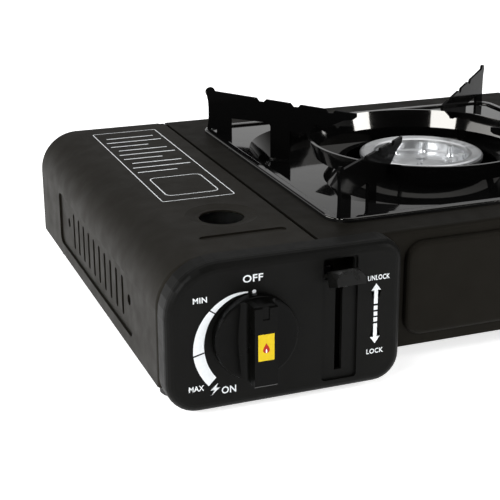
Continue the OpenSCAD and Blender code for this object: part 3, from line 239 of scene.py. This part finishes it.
for part in frame["record"]["subparts"]:
    mesh = NODES[part["node"]].data
    mesh.materials.clear()
    mesh.materials.append(SLOT_MATERIALS[part["material_slot"]])
# The lever's cap gets a copy of the knob's plastic with a lighter base colour, painted light for the
# light the cap catches, and a higher specular, so it shines more
NODES["lever_cap"].data.materials[0] = moulded("lever_plastic_painted_light", (0.005, 0.005, 0.0046), 0.3, 0.4)


# ---- Edges ----

EASED_ARM_EDGE = 0.0004
EASED_CAP_EDGE = 0.0005
SHARP_FROM = math.radians(40)


def eased(node, width):
    """Rounds a node's sharp edges a little, so that they catch the light."""
    modifier = NODES[node].modifiers.new("eased_edges", "BEVEL")
    modifier.width = width
    modifier.segments = 2
    modifier.limit_method = "ANGLE"
    modifier.angle_limit = SHARP_FROM


for node in NODES:
    if node.startswith("trivet_arm_"):
        eased(node, EASED_ARM_EDGE)
eased("lever_cap", EASED_CAP_EDGE)


# ---- Prints, in millimetres on the plane that carries them ----

PRINT_LIFT = 0.00006
INK = ink("white_print", (0.85, 0.88, 0.9), 0.45)
RED = ink("red_print", (0.4, 0.012, 0.004), 0.35)


def on_front(y):
    """Upright plane at y: points are (x, z) from the knob's axis."""
    return Vector((KNOB.x, y, KNOB.z)), Vector((MM, 0, 0)), Vector((0, 0, MM))


def add_piece(name, mesh, material, body):
    """Adds a mesh of one material as a piece that rides on a body."""
    mesh.materials.clear()
    mesh.materials.append(material)
    piece = bpy.data.objects.new(name, mesh)
    bpy.context.scene.collection.objects.link(piece)
    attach(piece, body)


def printed(name, outlines, plane, material, body):
    """Thin print from flat outlines on a plane, raised toward the plane's outside."""
    origin, across, up = plane
    out = across.cross(up).normalized() * PRINT_LIFT
    mesh = bpy.data.meshes.new(name)
    sheet = bmesh.new()
    for outline in outlines:
        area = sum(a[0] * b[1] - b[0] * a[1] for a, b in zip(outline, outline[1:] + outline[:1]))
        points = outline if area > 0 else outline[::-1]
        sheet.faces.new([sheet.verts.new(origin + across * u + up * v) for u, v in points])
    bmesh.ops.triangulate(sheet, faces=sheet.faces[:])
    made = bmesh.ops.extrude_face_region(sheet, geom=sheet.faces[:])
    raised = [v for v in made["geom"] if isinstance(v, bmesh.types.BMVert)]
    bmesh.ops.translate(sheet, vec=out, verts=raised)
    bmesh.ops.recalc_face_normals(sheet, faces=sheet.faces[:])
    sheet.to_mesh(mesh)
    sheet.free()
    add_piece(name, mesh, material, body)


# Weight added to the font's strokes, in letter heights, and its letter spacing
LETTER_WEIGHT = 0.018
LETTER_SPACING = 1.06


def word(name, text, x, z, width, height):
    """A word of plain capitals on the panel, its lower left corner at (x, z) from the knob's axis."""
    curve = bpy.data.curves.new(name, "FONT")
    curve.body = text
    curve.size = 1.0
    curve.offset = LETTER_WEIGHT
    curve.space_character = LETTER_SPACING
    curve.resolution_u = 3
    flat = bpy.data.objects.new(name + "_curve", curve)
    bpy.context.scene.collection.objects.link(flat)
    mesh = bpy.data.meshes.new_from_object(flat.evaluated_get(bpy.context.evaluated_depsgraph_get()))
    bpy.data.objects.remove(flat)
    xs = [v.co.x for v in mesh.vertices]
    ys = [v.co.y for v in mesh.vertices]
    for v in mesh.vertices:
        across = (v.co.x - min(xs)) / (max(xs) - min(xs)) * width
        up = (v.co.y - min(ys)) / (max(ys) - min(ys)) * height
        v.co = (KNOB.x + (x + across) * MM, PANEL_Y - PRINT_LIFT, KNOB.z + (z + up) * MM)
    mesh.name = name
    add_piece(name, mesh, INK, "stove")


def polar(radius, degrees):
    """Point at a distance and an angle."""
    a = math.radians(degrees)
    return radius * math.cos(a), radius * math.sin(a)


def turns(steps):
    """Evenly spaced angles of one full turn, in radians."""
    return [2 * math.pi * k / steps for k in range(steps)]


def between(table, at):
    """Value at an angle, on straight lines between the (degrees, value) pairs of a table."""
    for (a, va), (b, vb) in zip(table, table[1:]):
        if at <= b:
            return va + (vb - va) * (at - a) / (b - a)
    return table[-1][1]


# Inner and outer edge of the flame scale: degrees and distance from the knob's axis
SCALE_INNER = [(96.5, 22.4), (117, 23.3), (145, 24.2), (170, 25.2), (196, 26.5), (226, 28.4)]
SCALE_OUTER = [(96.5, 23.1), (117, 25.1), (145, 27.4), (170, 30.0), (192, 32.2), (226, 34.1)]
SCALE_SPANS = [(96.5, 144.4), (146.0, 192.7), (194.3, 226)]
OFF_DOT = (0.6, 22.5)
OFF_DOT_R = 1.05
OFF_DOT_CORNERS = 24
# Corners of the spark mark beside the word ON
BOLT = [(-18.9, -23.6), (-22.8, -27.1), (-20.7, -27.2), (-22.4, -29.9), (-17.8, -26.1), (-19.9, -26.0)]
# Text, left, bottom, width and height of each word
WORDS = {
    "word_off": ("OFF", -5.3, 27.7, 10.6, 3.9),
    "word_min": ("MIN", -31.1, 20.3, 7.2, 3.0),
    "word_max": ("MAX", -34.1, -26.4, 7.9, 3.0),
    "word_on": ("ON", -17.0, -30.0, 7.7, 3.9),
    "word_unlock": ("UNLOCK", 62.6, 19.1, 12.4, 2.8),
    "word_lock": ("LOCK", 62.8, -21.7, 9.6, 2.8),
}
ARROW_X = 67.4
ARROW_MIDDLE = 0.6
ARROW_SHAFT = 1.05
ARROW_HEAD = 2.8
ARROW_FOOT_Z, ARROW_NECK_Z, ARROW_BARB_Z, ARROW_TIP_Z = 6.1, 13.6, 13.4, 17.2
BLOCKS_Z = (-3.8, -0.6, 2.7)
BLOCK_H = 2.3
# Drops on the knob's label: half width and height, distance below its middle, taper and corners
FLAME = (2.4, 2.6, 0.3, 1.4, 36)
FLAME_CORE = (0.55, 1.1, 1.7, 1.0, 20)


def scale_segment(start, stop):
    """Outline of one part of the flame scale between two angles."""
    steps = 14
    angles = [start + (stop - start) * k / steps for k in range(steps + 1)]
    outer = [polar(between(SCALE_OUTER, a), a) for a in angles]
    return outer + [polar(between(SCALE_INNER, a), a) for a in reversed(angles)]


def add_scale():
    """The flame scale round the knob, with the dot at OFF and the spark mark at ON."""
    front = on_front(PANEL_Y)
    printed("flame_scale", [scale_segment(*ends) for ends in SCALE_SPANS], front, INK, "stove")
    rim = [polar(1, 360 * k / OFF_DOT_CORNERS) for k in range(OFF_DOT_CORNERS)]
    dot = [(OFF_DOT[0] + OFF_DOT_R * x, OFF_DOT[1] + OFF_DOT_R * z) for x, z in rim]
    printed("off_dot", [dot], front, INK, "stove")
    printed("spark_mark", [BOLT], front, INK, "stove")


def add_lever_arrows():
    """The two arrows between UNLOCK and LOCK, with three blocks between them."""
    left, right = ARROW_X - ARROW_SHAFT, ARROW_X + ARROW_SHAFT
    up = [(left, ARROW_FOOT_Z), (right, ARROW_FOOT_Z), (right, ARROW_NECK_Z),
          (ARROW_X + ARROW_HEAD, ARROW_BARB_Z), (ARROW_X, ARROW_TIP_Z),
          (ARROW_X - ARROW_HEAD, ARROW_BARB_Z), (left, ARROW_NECK_Z)]
    down = [(x, 2 * ARROW_MIDDLE - z) for x, z in reversed(up)]
    blocks = [[(left, z), (right, z), (right, z + BLOCK_H), (left, z + BLOCK_H)] for z in BLOCKS_Z]
    printed("lever_arrows", [up, down] + blocks, on_front(PANEL_Y), INK, "stove")


def teardrop(half_w, half_h, below, taper, corners):
    """Outline of an upright drop on the knob's label, pointed at its top."""
    z = (centre("knob_label").z - KNOB.z) / MM
    return [(half_w * math.sin(t) * math.sin(t / 2) ** taper, half_h * math.cos(t) + z - below)
            for t in turns(corners)]


def add_label_flame():
    """The red flame on the knob's yellow label, with its white core."""
    printed("flame_mark", [teardrop(*FLAME)], on_front(LABEL_Y), RED, "gas_knob")
    printed("flame_core", [teardrop(*FLAME_CORE)], on_front(LABEL_Y - PRINT_LIFT), INK, "gas_knob")


def rounded(low, high, radius):
    """Outline of a rounded rectangle, counter-clockwise."""
    steps = 5
    corners = [(high[0] - radius, high[1] - radius, 0), (low[0] + radius, high[1] - radius, 90),
               (low[0] + radius, low[1] + radius, 180), (high[0] - radius, low[1] + radius, 270)]
    made = []
    for x, y, start in corners:
        for k in range(steps + 1):
            dx, dy = polar(radius, start + 90 * k / steps)
            made.append((x + dx, y + dy))
    return made


def ring_strips(outer, inner):
    """Band between two closed outlines of equally many points, as quads."""
    n = len(outer)
    return [[outer[k], outer[(k + 1) % n], inner[(k + 1) % n], inner[k]] for k in range(n)]


def band(low, high, radius, line, inner_radius):
    """Rounded rectangle drawn as a band that is line wide."""
    inner_low = (low[0] + line, low[1] + line)
    inner_high = (high[0] - line, high[1] - line)
    return ring_strips(rounded(low, high, radius), rounded(inner_low, inner_high, inner_radius))


# Cover print, from the cover's left front corner: corners, radius, line width and inner radius
COVER_FRAME = ((32.3, 94.3), (76.0, 256.1), 2.0, 0.55, 1.5)
BLANK_PANEL = ((38.0, 104.0), (70.0, 142.0), 4.0, 0.6, 3.4)
RULE_N = 9
RULE_BACK = 240.0
RULE_PITCH = 10.5
RULE_W = 1.2
RULE_INSET = 3.5
FIRST_INSET = 6.0
LAST_LENGTH = 25.0
RULES_IN_GROUP = 3


def add_cover_print():
    """Plain white frame on the cartridge cover, holding groups of plain rules and a blank panel."""
    top = (Vector((LID_LOW.x, LID_LOW.y, LID_HIGH.z)), Vector((MM, 0, 0)), Vector((0, MM, 0)))
    left, right = COVER_FRAME[0][0], COVER_FRAME[1][0]
    rules = []
    for k in range(RULE_N):
        in_group = k % RULES_IN_GROUP
        y = RULE_BACK - RULE_PITCH * k
        inset = FIRST_INSET if in_group == 0 else RULE_INSET
        length = LAST_LENGTH if in_group == RULES_IN_GROUP - 1 else right - left - 2 * inset
        x = left + inset
        rules.append([(x, y), (x + length, y), (x + length, y + RULE_W), (x, y + RULE_W)])
    printed("cover_frame", band(*COVER_FRAME) + rules + band(*BLANK_PANEL), top, INK, "cover")


add_cover_print()
add_scale()
for name, values in WORDS.items():
    word(name, *values)
add_lever_arrows()
add_label_flame()


# ---- Camera, floor and light ----

# The photograph's camera: focal length and centre in its pixels, place in metres, angles
PHOTO_PX = 500
FOCAL_PX = 1249.83
CENTRE_PX = (278.70, 241.24)
EYE = Vector((LID_LOW.x - 0.15705, LID_LOW.y - 0.54924, 0.29102))
YAW, PITCH, ROLL = (math.radians(a) for a in (21.973, -19.240, 0.155))
SENSOR_MM = 36

FLOOR_SIZE = 30.0
FLOOR_GLOW = 0.75
# Middle and half size of the painted shadow under the stove, a patch of floor that doesn't glow
PAINTED_SHADOW_PATCH = {"X": (0.0, 0.155), "Y": (0.035, 0.105)}

# Studio walls: limits of the direction's part along the axis, and the brightness there
WORLD_RAMPS = {"Z": (0.24, 0.42, 1.0, 0.05), "Y": (-0.1, 0.7, 0.12, 0.52)}

LIGHT_TARGET = Vector((0.03, 0.01, 0.08))
# Azimuth from +X and elevation in degrees, distance, width and height in metres, watts
SOFTBOXES = {
    "left_box": (-143, 27, 1.6, 0.75, 0.36, 13),
    "right_box": (-45, 24, 1.6, 0.55, 0.36, 10),
    "ceiling_box": (80, 70, 2.8, 4.0, 4.0, 60),
    "side_box": (165, 14, 1.8, 1.6, 0.7, 12),
}


def make_camera():
    """Camera at the photograph's place, with its off-centre frame as lens shift."""
    data = bpy.data.cameras.new("camera")
    data.sensor_width = SENSOR_MM
    data.lens = FOCAL_PX / PHOTO_PX * SENSOR_MM
    data.shift_x = (PHOTO_PX / 2 - CENTRE_PX[0]) / PHOTO_PX
    data.shift_y = (CENTRE_PX[1] - PHOTO_PX / 2) / PHOTO_PX
    data.clip_start = 0.01
    camera = bpy.data.objects.new("camera", data)
    bpy.context.scene.collection.objects.link(camera)
    look = Vector((math.sin(YAW) * math.cos(PITCH), math.cos(YAW) * math.cos(PITCH), math.sin(PITCH)))
    right = Vector((math.cos(YAW), -math.sin(YAW), 0.0))
    up = right.cross(look)
    x_axis = right * math.cos(ROLL) + up * math.sin(ROLL)
    y_axis = -right * math.sin(ROLL) + up * math.cos(ROLL)
    turn = Matrix((x_axis, y_axis, -look)).transposed()
    camera.matrix_world = Matrix.Translation(EYE) @ turn.to_4x4()
    bpy.context.scene.camera = camera


def make_floor():
    """White floor that glows a little, with a painted shadow under the stove where it doesn't glow."""
    bpy.ops.mesh.primitive_plane_add(size=FLOOR_SIZE)
    floor = bpy.context.object
    floor.name = "floor"
    s = Surface("pale_floor", (0.9, 0.9, 0.9), 0.9, specular_ior_level=0.1)
    s.shade(s.noise(0.2), (0.89, 0.89, 0.89), (0.91, 0.91, 0.91))
    s.set("Emission Color", (1.0, 1.0, 1.0, 1.0))
    split = s.node("ShaderNodeSeparateXYZ")
    s.link(s.where, split.inputs["Vector"])
    # Mask of the painted shadow: one inside the patch under the stove, where the glow is taken away
    under = s.node("ShaderNodeMath", operation="MULTIPLY")
    for k, (axis, (middle, half)) in enumerate(PAINTED_SHADOW_PATCH.items()):
        inside = s.node("ShaderNodeMath", operation="COMPARE")
        inside.inputs[1].default_value = middle
        inside.inputs[2].default_value = half
        s.link(split.outputs[axis], inside.inputs[0])
        s.link(inside.outputs["Value"], under.inputs[k])
    glow = s.spread(under.outputs["Value"], FLOOR_GLOW, 0.0, (0.0, 1.0))
    s.link(glow, s.shader.inputs["Emission Strength"])
    floor.data.materials.append(s.material)


def softbox(name, azimuth, elevation, distance, width, height, power):
    """Rectangular light aimed at the stove."""
    a, e = math.radians(azimuth), math.radians(elevation)
    aim = Vector((math.cos(a) * math.cos(e), math.sin(a) * math.cos(e), math.sin(e)))
    data = bpy.data.lights.new(name, "AREA")
    data.shape = "RECTANGLE"
    data.size, data.size_y = width, height
    data.energy = power
    light = bpy.data.objects.new(name, data)
    bpy.context.scene.collection.objects.link(light)
    light.location = LIGHT_TARGET + aim * distance
    light.rotation_euler = (-aim).to_track_quat("-Z", "Y").to_euler()


def make_world():
    """Grey studio walls: lighter low down at the back, dark overhead and at the front."""
    world = bpy.data.worlds.new("studio")
    world.use_nodes = True
    bpy.context.scene.world = world
    tree = world.node_tree
    back = tree.nodes["Background"]
    where = tree.nodes.new("ShaderNodeTexCoord")
    split = tree.nodes.new("ShaderNodeSeparateXYZ")
    tree.links.new(where.outputs["Generated"], split.inputs["Vector"])
    both = tree.nodes.new("ShaderNodeMath")
    both.operation = "MULTIPLY"
    for k, (axis, limits) in enumerate(WORLD_RAMPS.items()):
        ramp = tree.nodes.new("ShaderNodeMapRange")
        for key, value in zip(("From Min", "From Max", "To Min", "To Max"), limits):
            ramp.inputs[key].default_value = value
        tree.links.new(split.outputs[axis], ramp.inputs["Value"])
        tree.links.new(ramp.outputs["Result"], both.inputs[k])
    back.inputs["Color"].default_value = (1, 1, 1, 1)
    tree.links.new(both.outputs["Value"], back.inputs["Strength"])


make_camera()
make_floor()
make_world()
for name, values in SOFTBOXES.items():
    softbox(name, *values)

bpy.context.scene.view_settings.view_transform = "Standard"
